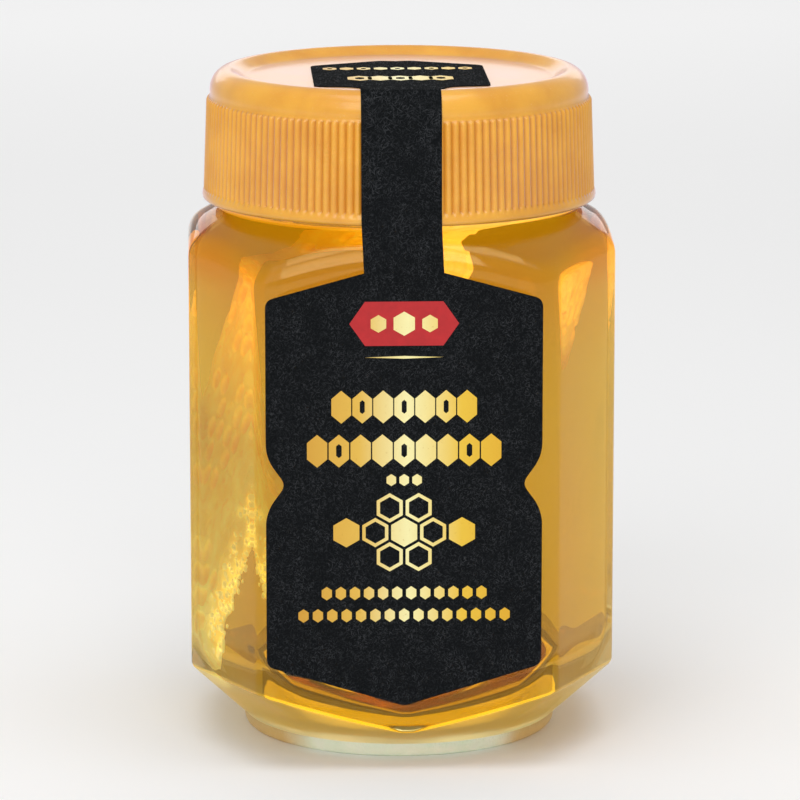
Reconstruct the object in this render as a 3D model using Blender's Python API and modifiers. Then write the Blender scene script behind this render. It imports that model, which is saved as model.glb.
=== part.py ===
"""A jar of honey with a piece of honeycomb in it, closed by a ribbed screw lid and a seal label.

Metres, +Z up. The jar stands on its base with its axis on Z and its front panel facing -Y.
"""
import math

import bmesh
import bpy
from mathutils import Matrix, Vector

MM = 0.001
GAP = 0.3 * MM

# Body: an octagon with wide front and back panels, given by its facets' distances from the axis
FRONT_FLAT = 37.6 * MM
SIDE_FLAT = 39.0 * MM
DIAGONAL_FLAT = 41.25 * MM
DIAGONAL_TURN = 62.0
EDGE_ROUNDING = 3.0 * MM
WALL = 2.7 * MM
INNER_ROUNDING = 8.0 * MM

# Lower end: slanting faces from the facets' lower edges to a round base
BASE_RADIUS = 28.6 * MM
PUNT_RADIUS = 22.0 * MM
PUNT_HEIGHT = 1.2 * MM
CORNER_FOOT = 14.2 * MM
PANEL_FOOT = 6.9 * MM
HEEL_TOP = 2.7 * MM
FLOOR = 5.4 * MM
FLOOR_RADIUS = 26.0 * MM
FOOT_RISE = 3.4 * MM

# Upper end: a conical shoulder, the neck ring and the finish under the lid
SHOULDER_SLOPE = 0.57
NECK_RADIUS = 33.4 * MM
NECK_FOOT = 98.3 * MM
FINISH_RADIUS = 32.4 * MM
BORE_RADIUS = 29.6 * MM
RIM_TOP = 120.3 * MM
HONEY_LEVEL = 117.0 * MM

# Lid
LID_FOOT = 99.6 * MM
LID_TOP = 123.5 * MM
LID_RECESS = 122.0 * MM
LID_BORE = 33.8 * MM
LID_BAND = 36.3 * MM
RIB_FOOT = (35.5 * MM, 101.8 * MM)
RIB_HEAD = (34.9 * MM, 118.3 * MM)
RIB_COUNT = 150
RIB_HEIGHT = 0.55 * MM
RIB_SLOT = 0.3 * MM

# Comb: a slab that leans against the left wall, its cells open on both broad faces
COMB_CENTRE = (-7.5 * MM, 12.5 * MM, 58.1 * MM)
COMB_LEAN = 61.5
COMB_LENGTH = 96.0 * MM
COMB_WIDTH = 41.0 * MM
COMB_THICKNESS = 7.6 * MM
CELL_FLATS = 5.4 * MM
CELL_DEPTH = 2.4 * MM

# Label: front panel, strip over the shoulder and the lid's side, and the part on the lid's top
LABEL_THICKNESS = 0.25 * MM
LABEL_HALF_WIDTH = 24.8 * MM
LABEL_TIP = 12.2 * MM
LABEL_FOOT = 19.7 * MM
LABEL_SHOULDER = 86.8 * MM
LABEL_NECK = 91.6 * MM
STRIP_HALF_WIDTH = 7.15 * MM
NOTCH_HEIGHT = 53.2 * MM
NOTCH_HALF = 5.0 * MM
NOTCH_DEPTH = 3.6 * MM
CREST_HALF_WIDTH = 16.0 * MM
CREST_FRONT = -16.0 * MM
CREST_SIDE_BACK = 11.6 * MM
CREST_PEAK = (2.8 * MM, 18.3 * MM)
CREST_DIP = 17.7 * MM

COLLECTION = "honeycomb_jar"


def clear_scene():
    for obj in list(bpy.data.objects):
        bpy.data.objects.remove(obj, do_unlink=True)


def make_material(name, colour, roughness, transmission=0.0):
    material = bpy.data.materials.new(name)
    material.use_nodes = True
    shader = material.node_tree.nodes["Principled BSDF"]
    shader.inputs["Base Color"].default_value = (*colour, 1.0)
    shader.inputs["Roughness"].default_value = roughness
    shader.inputs["Metallic"].default_value = 0.0
    shader.inputs["Transmission Weight"].default_value = transmission
    material.diffuse_color = (*colour, 1.0)
    return material


def make_object(name, bm, material, collection):
    """Link a bmesh as an object, its faces turned outwards and its sharp edges kept."""
    bmesh.ops.recalc_face_normals(bm, faces=bm.faces)
    mesh = bpy.data.meshes.new(name)
    bm.to_mesh(mesh)
    bm.free()
    mesh.materials.append(material)
    mesh.shade_smooth()
    mesh.set_sharp_from_angle(angle=math.radians(35.0))
    obj = bpy.data.objects.new(name, mesh)
    collection.objects.link(obj)
    return obj


def boolean(target, operation, cutter):
    """Add an exact Boolean and hide its cutter."""
    modifier = target.modifiers.new(operation.title(), "BOOLEAN")
    modifier.operation = operation
    modifier.solver = "EXACT"
    modifier.object = cutter
    cutter.hide_render = True
    cutter.display_type = "WIRE"


def facet_crossing(first, second, inset):
    """Crossing point of two facet lines, each a normal's angle and a distance, moved inwards."""
    normals = Matrix([(math.cos(angle), math.sin(angle)) for angle, _ in (first, second)])
    distances = Vector([distance - inset for _, distance in (first, second)])
    return normals.inverted() @ distances


def octagon(inset=0.0, rounding=EDGE_ROUNDING):
    """Points round the body's section: an arc at each corner, spare points along each flat."""
    facets = []
    for turn, distance, spare in (
        (0.0, FRONT_FLAT, 7),
        (DIAGONAL_TURN, DIAGONAL_FLAT, 2),
        (90.0, SIDE_FLAT, 2),
        (180.0 - DIAGONAL_TURN, DIAGONAL_FLAT, 2),
    ):
        facets.append((math.radians(turn - 90.0), distance - inset, spare))
    facets += [(angle + math.pi, distance, spare) for angle, distance, spare in facets]
    arcs = []
    for index, (angle, distance, _) in enumerate(facets):
        next_angle, next_distance, _ = facets[(index + 1) % len(facets)]
        turn = (next_angle - angle) % (2.0 * math.pi)
        centre = facet_crossing((angle, distance), (next_angle, next_distance), rounding)
        steps = 4 if turn > math.radians(40.0) else 2
        angles = [angle + turn * step / steps for step in range(steps + 1)]
        arcs.append([centre + rounding * Vector((math.cos(a), math.sin(a))) for a in angles])
    points = []
    for index, arc in enumerate(arcs):
        points += arc
        start, end = arc[-1], arcs[(index + 1) % len(arcs)][0]
        spare = facets[(index + 1) % len(facets)][2]
        points += [start.lerp(end, step / (spare + 1)) for step in range(1, spare + 1)]
    return points


def circle_ring(section, radius, height):
    """A level circle whose points lie in the same directions as the section's."""
    return [Vector((*(point.normalized() * radius), height)) for point in section]


def curve_rings(starts, corners, ends, steps):
    """Rings along a quadratic curve from each start to its end, pulled towards its corner."""
    rings = []
    for step in range(steps + 1):
        t = step / steps
        rings.append([
            (1 - t) ** 2 * a + 2 * t * (1 - t) * b + t ** 2 * c
            for a, b, c in zip(starts, corners, ends)
        ])
    return rings


def shrink(point, distance):
    """Move a section point towards the axis."""
    return point.normalized() * (point.length - distance)


def loft(rings):
    """A closed body through rings of equal counts, capped at both ends."""
    bm = bmesh.new()
    rows = [[bm.verts.new(point) for point in ring] for ring in rings]
    for lower, upper in zip(rows, rows[1:]):
        for index in range(len(lower)):
            after = (index + 1) % len(lower)
            bm.faces.new((lower[index], lower[after], upper[after], upper[index]))
    bm.faces.new(reversed(rows[0]))
    bm.faces.new(rows[-1])
    return bm


def panel_foot(point):
    """Height of the body's lower edge, a shallow V under the front and back panels."""
    across = abs(point.x)
    rise = 0.22 * across + 1.97 * across ** 2
    return min(CORNER_FOOT, PANEL_FOOT + rise)


def shoulder_height(radius):
    return NECK_FOOT - SHOULDER_SLOPE * (radius - NECK_RADIUS)


def outer_rings():
    """Rings of the glass from the punt up to the lip."""
    section = octagon()
    feet = [Vector((*point, panel_foot(point))) for point in section]
    tops = [Vector((*point, shoulder_height(point.length))) for point in section]
    base = circle_ring(section, BASE_RADIUS + 0.5 * MM, HEEL_TOP)
    slope_ends = [foot.lerp(low, 0.14) for foot, low in zip(feet, base)]
    wall_feet = [foot + Vector((0.0, 0.0, 2.0 * MM)) for foot in feet]
    wall_tops = [top - Vector((0.0, 0.0, 3.0 * MM)) for top in tops]
    cone_feet = []
    for point in section:
        inner = shrink(point, 3.0 * MM)
        cone_feet.append(Vector((*inner, shoulder_height(inner.length))))
    rings = [
        circle_ring(section, PUNT_RADIUS, PUNT_HEIGHT),
        circle_ring(section, BASE_RADIUS - 2.9 * MM, 0.0),
        circle_ring(section, BASE_RADIUS - 1.0 * MM, 0.0),
        circle_ring(section, BASE_RADIUS, 0.5 * MM),
        circle_ring(section, BASE_RADIUS + 0.4 * MM, 1.4 * MM),
        base,
    ]
    rings += curve_rings(slope_ends, feet, wall_feet, 2)
    rings += curve_rings(wall_tops, tops, cone_feet, 3)
    rings += [
        circle_ring(section, radius, height)
        for radius, height in (
            (NECK_RADIUS + 0.2 * MM, NECK_FOOT),
            (NECK_RADIUS, NECK_FOOT + 0.9 * MM),
            (FINISH_RADIUS, NECK_FOOT + 1.8 * MM),
            (FINISH_RADIUS, RIM_TOP - 0.7 * MM),
            (FINISH_RADIUS - 0.7 * MM, RIM_TOP),
        )
    ]
    return rings


def cavity_rings(gap):
    """Rings of the jar's inside from the floor up to the shoulder, drawn in by the gap."""
    section = octagon(WALL + gap, INNER_ROUNDING)
    floor = FLOOR + gap

    def inner_shoulder(radius):
        return shoulder_height(radius + WALL) - 0.4 * MM - gap

    floor_ends = circle_ring(section, FLOOR_RADIUS - gap, floor)
    feet = [Vector((*point, panel_foot(point) + FOOT_RISE + gap)) for point in section]
    floor_curves = [low.lerp(foot, 0.3) for low, foot in zip(floor_ends, feet)]
    slope_ends = [foot.lerp(low, 0.35) for foot, low in zip(feet, floor_ends)]
    wall_feet = [foot + Vector((0.0, 0.0, 4.5 * MM)) for foot in feet]
    tops = [Vector((*point, inner_shoulder(point.length))) for point in section]
    wall_tops = [top - Vector((0.0, 0.0, 5.0 * MM)) for top in tops]
    cone_feet = []
    for point in section:
        inner = shrink(point, 4.5 * MM)
        cone_feet.append(Vector((*inner, inner_shoulder(inner.length))))
    bore_foot = shoulder_height(BORE_RADIUS + WALL) + 1.1 * MM - gap
    floor_starts = circle_ring(section, FLOOR_RADIUS - 4.0 * MM, floor)
    rings = curve_rings(floor_starts, floor_ends, floor_curves, 2)
    rings += curve_rings(slope_ends, feet, wall_feet, 3)
    rings += curve_rings(wall_tops, tops, cone_feet, 3)
    rings.append(circle_ring(section, BORE_RADIUS - gap, bore_foot))
    return section, rings


def add_jar(collection):
    section, inside = cavity_rings(0.0)
    rings = outer_rings()
    rings.append(circle_ring(section, BORE_RADIUS + 0.7 * MM, RIM_TOP))
    rings.append(circle_ring(section, BORE_RADIUS, RIM_TOP - 0.7 * MM))
    rings += reversed(inside)
    glass = make_material("jar_glass", (0.92, 0.97, 0.93), 0.02, transmission=1.0)
    return make_object("jar", loft(rings), glass, collection)


def filling(name, material, collection):
    """The jar's inside up to the honey's level."""
    section, rings = cavity_rings(GAP)
    rings.append(circle_ring(section, BORE_RADIUS - GAP, HONEY_LEVEL))
    return make_object(name, loft(rings), material, collection)


def comb_matrix():
    """Slab frame: X along the slab upwards, Y across it, Z out of its upper broad face."""
    lean = Matrix.Rotation(-math.radians(COMB_LEAN), 4, "Y")
    return Matrix.Translation(COMB_CENTRE) @ lean


def add_honey(collection, cutters):
    amber = make_material("honey_amber", (0.78, 0.42, 0.03), 0.05, transmission=0.6)
    honey = filling("honey", amber, collection)
    bm = bmesh.new()
    bmesh.ops.create_cube(bm, size=1.0)
    room = Vector((COMB_LENGTH, COMB_WIDTH, COMB_THICKNESS)) + Vector((2.4 * GAP,) * 3)
    bmesh.ops.scale(bm, vec=room, verts=bm.verts)
    envelope = make_object("comb_room", bm, amber, cutters)
    envelope.matrix_world = comb_matrix()
    boolean(honey, "DIFFERENCE", envelope)
    return honey


def hexagon_grid(bm):
    """Weld rows of hexagons into one sheet that fits the slab's outline."""
    radius = CELL_FLATS / math.sqrt(3.0)
    pitch = 1.5 * radius
    columns = int((COMB_LENGTH - 2.0 * radius) / pitch) + 1
    rows = int((COMB_WIDTH - 0.5 * CELL_FLATS) / CELL_FLATS)
    for column in range(columns):
        for row in range(rows):
            x = (column - (columns - 1) / 2.0) * pitch
            y = (row - (rows - 0.5) / 2.0 + 0.5 * (column % 2)) * CELL_FLATS
            place = Matrix.Translation((x, y, 0.0)) @ Matrix.Rotation(math.radians(30.0), 4, "Z")
            bmesh.ops.create_circle(bm, cap_ends=True, segments=6, radius=radius, matrix=place)
    bmesh.ops.remove_doubles(bm, verts=bm.verts, dist=0.01 * MM)


def add_comb(collection, cutters):
    bm = bmesh.new()
    hexagon_grid(bm)
    half = COMB_THICKNESS / 2.0
    bmesh.ops.translate(bm, verts=bm.verts, vec=(0.0, 0.0, half))
    cells = list(bm.faces)
    rim = [edge for edge in bm.edges if edge.is_boundary]
    skirt = bmesh.ops.extrude_edge_only(bm, edges=rim)["geom"]
    low = [item for item in skirt if isinstance(item, bmesh.types.BMVert)]
    bmesh.ops.translate(bm, verts=low, vec=(0.0, 0.0, -half))
    pits = bmesh.ops.poke(bm, faces=cells)["verts"]
    bmesh.ops.translate(bm, verts=pits, vec=(0.0, 0.0, -CELL_DEPTH))
    wax = make_material("comb_wax", (0.85, 0.68, 0.30), 0.55)
    comb = make_object("comb", bm, wax, collection)
    comb.matrix_world = comb_matrix()
    mirror = comb.modifiers.new("Mirror", "MIRROR")
    mirror.use_axis = (False, False, True)
    mirror.merge_threshold = 0.01 * MM
    boolean(comb, "INTERSECT", filling("comb_limit", wax, cutters))
    return comb


def lid_profile():
    """Radius and height pairs from the underside's centre round to the recess's centre."""
    under = LID_RECESS - 1.4 * MM
    return [
        (0.0, under),
        (LID_BORE, under),
        (LID_BORE, LID_FOOT),
        (LID_BAND, LID_FOOT),
        (LID_BAND - 0.1 * MM, RIB_FOOT[1] - 0.6 * MM),
        RIB_FOOT,
        RIB_HEAD,
        (34.6 * MM, LID_TOP - 2.1 * MM),
        (33.2 * MM, LID_TOP - 0.5 * MM),
        (31.3 * MM, LID_TOP),
        (29.3 * MM, LID_TOP - 0.5 * MM),
        (28.0 * MM, LID_RECESS),
        (0.0, LID_RECESS),
    ]


def add_lid(collection):
    """Turn the profile, then split its side band into narrow faces and raise each as a rib."""
    bm = bmesh.new()
    verts = [bm.verts.new((radius, 0.0, height)) for radius, height in lid_profile()]
    edges = [bm.edges.new(pair) for pair in zip(verts, verts[1:])]
    steps = RIB_COUNT // 2
    bmesh.ops.spin(bm, geom=verts + edges, cent=(0, 0, 0), axis=(0, 0, 1), angle=2 * math.pi, steps=steps)
    bmesh.ops.remove_doubles(bm, verts=bm.verts, dist=0.001 * MM)
    bmesh.ops.recalc_face_normals(bm, faces=bm.faces)

    def on_level(vert, level):
        radius, height = level
        return abs(vert.co.z - height) < 0.01 * MM and abs(vert.co.xy.length - radius) < 0.2 * MM

    levels = (RIB_FOOT, RIB_HEAD)
    hoops = [e for e in bm.edges if any(all(on_level(v, level) for v in e.verts) for level in levels)]
    bmesh.ops.subdivide_edges(bm, edges=hoops, cuts=1)
    band = []
    for face in bm.faces:
        if all(any(on_level(vert, level) for level in levels) for vert in face.verts):
            band.append(face)
    bmesh.ops.inset_individual(bm, faces=band, thickness=RIB_SLOT, depth=RIB_HEIGHT, use_even_offset=True)
    gold = make_material("lid_gold", (0.86, 0.55, 0.20), 0.35)
    return make_object("lid", bm, gold, collection)


def round_corner(before, corner, after, radius, steps=3):
    """Points on a quadratic curve that starts and ends at the radius from the corner."""
    start = corner + (before - corner).normalized() * radius
    end = corner + (after - corner).normalized() * radius
    points = []
    for step in range(steps + 1):
        t = step / steps
        points.append((1 - t) ** 2 * start + 2 * t * (1 - t) * corner + t ** 2 * end)
    return points


def label_front_half():
    """Right half of the front's outline, up from the tip to the strip, as X and Z."""
    tip = Vector((0.0, LABEL_TIP))
    corner = Vector((LABEL_HALF_WIDTH, LABEL_FOOT))
    notch_low = Vector((LABEL_HALF_WIDTH, NOTCH_HEIGHT - NOTCH_HALF))
    notch_tip = Vector((LABEL_HALF_WIDTH - NOTCH_DEPTH, NOTCH_HEIGHT))
    notch_high = Vector((LABEL_HALF_WIDTH, NOTCH_HEIGHT + NOTCH_HALF))
    shoulder = Vector((LABEL_HALF_WIDTH, LABEL_SHOULDER))
    neck = Vector((STRIP_HALF_WIDTH, LABEL_NECK))
    points = [tip]
    points += round_corner(tip, corner, notch_low, 1.5 * MM)
    points += round_corner(corner, notch_low, notch_tip, 2.0 * MM)
    points += round_corner(notch_low, notch_tip, notch_high, 1.2 * MM)
    points += round_corner(notch_tip, notch_high, shoulder, 2.0 * MM)
    points += round_corner(notch_high, shoulder, neck, 1.5 * MM)
    return points + [neck]


def strip_path():
    """Y and Z of the strip's stations, over the shoulder, the lid's side and its rim."""
    front = FRONT_FLAT + GAP
    band = LID_BAND + GAP
    crest = LID_TOP + GAP

    def inside_rim(radius):
        return -math.sqrt(radius ** 2 - STRIP_HALF_WIDTH ** 2)

    return [
        (-front, shoulder_height(FRONT_FLAT) - 3.0 * MM),
        (-band, LID_FOOT + 0.4 * MM),
        (-band, RIB_FOOT[1] + 0.2 * MM),
        (-RIB_HEAD[0] - RIB_HEIGHT - GAP, RIB_HEAD[1] + 0.3 * MM),
        (-35.0 * MM, LID_TOP - 1.8 * MM),
        (-33.4 * MM, crest - 0.4 * MM),
        (-31.3 * MM, crest),
        (inside_rim(31.1 * MM), crest),
        (inside_rim(29.1 * MM), crest - 0.5 * MM),
        (inside_rim(27.6 * MM), LID_RECESS + GAP),
        (-21.0 * MM, LID_RECESS + GAP),
    ]


def label_crest_half():
    """Right half of the outline on the lid's top, from the strip to the dip at the back, as X and Y."""
    strip = Vector((STRIP_HALF_WIDTH, -21.0 * MM))
    front = Vector((CREST_HALF_WIDTH, CREST_FRONT))
    back = Vector((CREST_HALF_WIDTH, CREST_SIDE_BACK))
    peak = Vector(CREST_PEAK)
    points = [strip, strip + Vector((1.2 * MM, 2.6 * MM))]
    points += round_corner(strip + Vector((0.0, 5.0 * MM)), front, back, 1.2 * MM)
    points += round_corner(front, back, peak, 1.2 * MM)
    return points + [peak, Vector((0.0, CREST_DIP))]


def add_label(collection):
    """One thin sheet from the front's tip to the dip at the back of the lid's top."""
    bm = bmesh.new()
    front_y = -(FRONT_FLAT + GAP)
    half = label_front_half()
    right = [bm.verts.new((x, front_y, z)) for x, z in half]
    left = [bm.verts.new((-x, front_y, z)) for x, z in half[1:]]
    bm.faces.new(right + left[::-1])
    edge = (left[-1], right[-1])
    for y, z in strip_path():
        row = tuple(bm.verts.new((side * STRIP_HALF_WIDTH, y, z)) for side in (-1, 1))
        bm.faces.new((edge[0], edge[1], row[1], row[0]))
        edge = row
    crest = label_crest_half()[1:]
    level = LID_RECESS + GAP
    right = [bm.verts.new((x, y, level)) for x, y in crest]
    left = [bm.verts.new((-x, y, level)) for x, y in crest[:-1]]
    bm.faces.new([edge[0], edge[1]] + right + left[::-1])
    paper = make_material("label_black", (0.012, 0.013, 0.014), 0.8)
    label = make_object("label", bm, paper, collection)
    solidify = label.modifiers.new("Solidify", "SOLIDIFY")
    solidify.thickness = LABEL_THICKNESS
    solidify.offset = 1.0
    solidify.use_even_offset = True
    return label


def main():
    clear_scene()
    scene = bpy.context.scene
    collection = bpy.data.collections.new(COLLECTION)
    cutters = bpy.data.collections.new("cutters")
    scene.collection.children.link(collection)
    scene.collection.children.link(cutters)
    add_jar(collection)
    add_honey(collection, cutters)
    add_comb(collection, cutters)
    add_lid(collection)
    add_label(collection)


if __name__ == "__main__":
    main()
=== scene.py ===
"""Looks of a shut jar of honey with a piece of honeycomb in it, a golden lid and a black seal label.

The jar stands on its base with its axis on Z and its front panel facing -Y. Sizes are in metres.
"""
from __future__ import annotations

import logging
import math
import random
from dataclasses import dataclass, field
from enum import Enum
from typing import Callable, Iterable, Sequence

import bmesh
import bpy
from mathutils import Matrix, Vector, noise

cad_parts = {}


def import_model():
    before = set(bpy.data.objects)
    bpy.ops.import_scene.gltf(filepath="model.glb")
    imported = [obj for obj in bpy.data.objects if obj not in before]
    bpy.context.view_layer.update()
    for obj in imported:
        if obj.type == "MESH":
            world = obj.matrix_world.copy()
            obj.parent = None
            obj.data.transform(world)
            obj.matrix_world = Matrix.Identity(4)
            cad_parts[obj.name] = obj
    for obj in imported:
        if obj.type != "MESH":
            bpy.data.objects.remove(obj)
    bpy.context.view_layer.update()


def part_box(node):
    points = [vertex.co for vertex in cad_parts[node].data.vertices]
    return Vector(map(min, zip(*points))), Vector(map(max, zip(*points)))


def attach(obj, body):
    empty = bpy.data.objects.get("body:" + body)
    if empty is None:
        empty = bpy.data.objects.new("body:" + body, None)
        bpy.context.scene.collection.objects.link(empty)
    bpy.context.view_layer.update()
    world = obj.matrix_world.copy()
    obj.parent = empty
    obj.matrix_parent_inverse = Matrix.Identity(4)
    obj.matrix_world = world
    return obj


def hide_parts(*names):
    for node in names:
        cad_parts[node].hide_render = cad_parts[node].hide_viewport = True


LOG = logging.getLogger("honey_jar")
MM = 0.001
UP = Vector((0.0, 0.0, 1.0))
BODY = "root"
NOISE_SEED = 7
TRIM_TRIES = 4

Colour = tuple[float, float, float]
Ring = list[Vector]
BLACK: Colour = (0.0, 0.0, 0.0)


def linear(code: str) -> Colour:
    """Turn a screen colour into linear light.

    Args:
        code: Six hexadecimal digits, red first.

    Returns:
        Red, green and blue from 0 to 1.
    """
    channels = []
    for start in (0, 2, 4):
        level = int(code[start:start + 2], 16) / 255.0
        channels.append(level / 12.92 if level <= 0.04045 else ((level + 0.055) / 1.055) ** 2.4)
    return channels[0], channels[1], channels[2]


class Glass(Enum):
    """The jar's kinds of glass, by their material's place."""

    WALL = 0
    THICK = 1
    STIPPLED = 2
    SLOPE = 3
    EDGE = 4
    FOOT = 5


class Signal:
    """A shader socket that takes part in Python arithmetic, each operator adding a Math node."""

    def __init__(self, recipe: Recipe, socket: bpy.types.NodeSocket) -> None:
        """Wrap an output socket.

        Args:
            recipe: The material that the socket belongs to.
            socket: The output that carries the value.
        """
        self.recipe = recipe
        self.socket = socket

    def math(self, operation: str, *values: object) -> Signal:
        """Combine values in one Math node.

        Args:
            operation: The Math node's operation.
            values: Its inputs in order.

        Returns:
            The node's result.
        """
        node = self.recipe.add("ShaderNodeMath", {"operation": operation}, dict(enumerate(values)))
        return Signal(self.recipe, node.outputs[0])

    def __add__(self, other: object) -> Signal:
        """Sum."""
        return self.math("ADD", self, other)

    def __radd__(self, other: object) -> Signal:
        """Reflected sum."""
        return self.math("ADD", other, self)

    def __sub__(self, other: object) -> Signal:
        """Difference."""
        return self.math("SUBTRACT", self, other)

    def __rsub__(self, other: object) -> Signal:
        """Reflected difference."""
        return self.math("SUBTRACT", other, self)

    def __mul__(self, other: object) -> Signal:
        """Product."""
        return self.math("MULTIPLY", self, other)

    def __truediv__(self, other: object) -> Signal:
        """Quotient."""
        return self.math("DIVIDE", self, other)

    def __pow__(self, other: object) -> Signal:
        """Power."""
        return self.math("POWER", self, other)

    def larger(self, other: object) -> Signal:
        """The larger of the two."""
        return self.math("MAXIMUM", self, other)

    def away(self) -> Signal:
        """Distance from nought."""
        return self.math("ABSOLUTE", self)

    def between(self, low: float, high: float) -> Signal:
        """Rise smoothly from 0 at the low value to 1 at the high one.

        Args:
            low: Where the rise starts.
            high: Where it ends.

        Returns:
            The smoothed step.
        """
        settings = {"interpolation_type": "SMOOTHSTEP"}
        limits = {"Value": self, "From Min": low, "From Max": high}
        node = self.recipe.add("ShaderNodeMapRange", settings, limits)
        return Signal(self.recipe, node.outputs["Result"])


class Recipe:
    """One material and the nodes that it is made of."""

    def __init__(self, name: str) -> None:
        """Start a material with its Principled shader.

        Args:
            name: The material's name.
        """
        self.material = bpy.data.materials.new(name)
        self.material.use_nodes = True
        self.tree = self.material.node_tree
        self.shader = self.tree.nodes["Principled BSDF"]
        self.output = self.tree.nodes["Material Output"]

    def add(self, kind: str, settings: dict[str, object], sockets: dict[object, object]) -> bpy.types.Node:
        """Add one node.

        Args:
            kind: The node's type.
            settings: Its settings, set first; stops are a ramp's places and colours.
            sockets: Values or signals for its inputs, by name or place.

        Returns:
            The node.
        """
        node = self.tree.nodes.new(kind)
        for name, value in settings.items():
            if name == "stops":
                ramp = node.color_ramp
                for place, colour in value[2:]:
                    ramp.elements.new(place)
                for element, (place, colour) in zip(ramp.elements, sorted(value)):
                    element.position = place
                    element.color = (*colour, 1.0)
            else:
                setattr(node, name, value)
        self.feed(node, sockets)
        return node

    def feed(self, node: bpy.types.Node, sockets: dict[object, object]) -> None:
        """Set or link a node's inputs.

        Args:
            node: The node.
            sockets: Values or signals, by input name or place.
        """
        for key, value in sockets.items():
            target = node.inputs[key]
            if isinstance(value, Signal):
                self.tree.links.new(value.socket, target)
            elif target.type == "RGBA" and len(value) == 3:
                target.default_value = (*value, 1.0)
            else:
                target.default_value = value

    def coordinates(self, stretch: Sequence[float] = (1.0, 1.0, 1.0),
                    turn: Sequence[float] = (0.0, 0.0, 0.0)) -> Signal:
        """Object coordinates, stretched and turned.

        Args:
            stretch: Scale along each axis.
            turn: Rotation about each axis, in degrees.

        Returns:
            The vector.
        """
        place = self.add("ShaderNodeTexCoord", {}, {})
        angles = tuple(math.radians(angle) for angle in turn)
        sockets = {"Vector": Signal(self, place.outputs["Object"]), "Scale": stretch, "Rotation": angles}
        return Signal(self, self.add("ShaderNodeMapping", {}, sockets).outputs["Vector"])

    def axis(self, name: str) -> Signal:
        """One object coordinate, in metres.

        Args:
            name: X, Y or Z.

        Returns:
            The coordinate.
        """
        parts = self.add("ShaderNodeSeparateXYZ", {}, {"Vector": self.coordinates()})
        return Signal(self, parts.outputs[name])

    def grain(self, size: float, detail: float = 4.0, roughness: float = 0.5,
              **place: Sequence[float]) -> Signal:
        """Noise whose lumps are of a given size.

        Args:
            size: The lumps' size in metres.
            detail: Number of finer layers.
            roughness: How strong the finer layers are.
            place: Stretch and turn of the coordinates.

        Returns:
            Noise from 0 to 1.
        """
        return self.noise(self.coordinates(**place), 1.0 / size, detail, roughness)

    def noise(self, place: Signal, scale: float, detail: float, roughness: float) -> Signal:
        """Noise over given coordinates.

        Args:
            place: The coordinates.
            scale: Lumps to a unit of them.
            detail: Number of finer layers.
            roughness: How strong the finer layers are.

        Returns:
            Noise from 0 to 1.
        """
        sockets = {"Vector": place, "Scale": scale, "Detail": detail, "Roughness": roughness}
        return Signal(self, self.add("ShaderNodeTexNoise", {}, sockets).outputs["Fac"])

    def blend(self, amount: object, first: object, second: object) -> Signal:
        """Mix two colours.

        Args:
            amount: Share of the second colour.
            first: Colour at 0.
            second: Colour at 1.

        Returns:
            The mixed colour.
        """
        node = self.add("ShaderNodeMix", {"data_type": "RGBA"}, {0: amount, 6: first, 7: second})
        return Signal(self, node.outputs[2])

    def ramp(self, value: Signal, stops: list[tuple[float, Colour]]) -> Signal:
        """Colour a value by a ramp.

        Args:
            value: The value from 0 to 1.
            stops: Places and colours.

        Returns:
            The colour.
        """
        return Signal(self, self.add("ShaderNodeValToRGB", {"stops": stops}, {"Fac": value}).outputs["Color"])

    def bump(self, height: Signal, depth: float) -> None:
        """Feed the shader's normal from a height.

        Args:
            height: The relief from 0 to 1.
            depth: The relief's full depth in metres.
        """
        node = self.add("ShaderNodeBump", {}, {"Height": height, "Distance": depth, "Strength": 1.0})
        self.feed(self.shader, {"Normal": Signal(self, node.outputs["Normal"])})


@dataclass(frozen=True)
class GlassFinish:
    """Moulded glass with a soft ripple, clear, or tinted by the honey behind it, with an optional painted
    glow and optional painted shade of deeper amber at the upper corners.
    """

    name: str
    bending: float
    shine: float
    tint: Colour = (0.985, 0.995, 0.985)
    cast: Colour = (0.97, 0.99, 0.96)
    frosting: float = 0.0
    # Painted glow: emission that stands in for light, such as the bright line along the panels' lower edge.
    glow: Colour = BLACK
    # Painted shade: a deeper amber at the upper corners by the shoulder.
    corner: Colour | None = None
    corner_side: tuple[float, float] = (26.0 * MM, 35.0 * MM)
    corner_rise: tuple[float, float] = (84.0 * MM, 91.0 * MM)
    ripple: float = 14.0 * MM
    ripple_depth: float = 0.10 * MM

    def make(self) -> bpy.types.Material:
        """Build the material.

        Returns:
            The glass.
        """
        recipe = Recipe(self.name)
        # The emission is a painted glow; it stays black on the plain kinds.
        recipe.feed(recipe.shader, {
            "Transmission Weight": 1.0, "IOR": self.bending, "Roughness": self.frosting,
            "Specular IOR Level": self.shine, "Emission Color": self.glow, "Emission Strength": 1.0,
        })
        colour = recipe.blend(recipe.grain(40.0 * MM, 2.0), self.tint, self.cast)
        # Paint the deeper amber shade onto the upper corners by the shoulder.
        if self.corner:
            sides = recipe.axis("X").away().between(*self.corner_side)
            colour = recipe.blend(sides * recipe.axis("Z").between(*self.corner_rise), colour, self.corner)
        recipe.feed(recipe.shader, {"Base Color": colour})
        recipe.bump(recipe.grain(self.ripple, 2.0, 0.4), self.ripple_depth)
        return recipe.material


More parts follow.
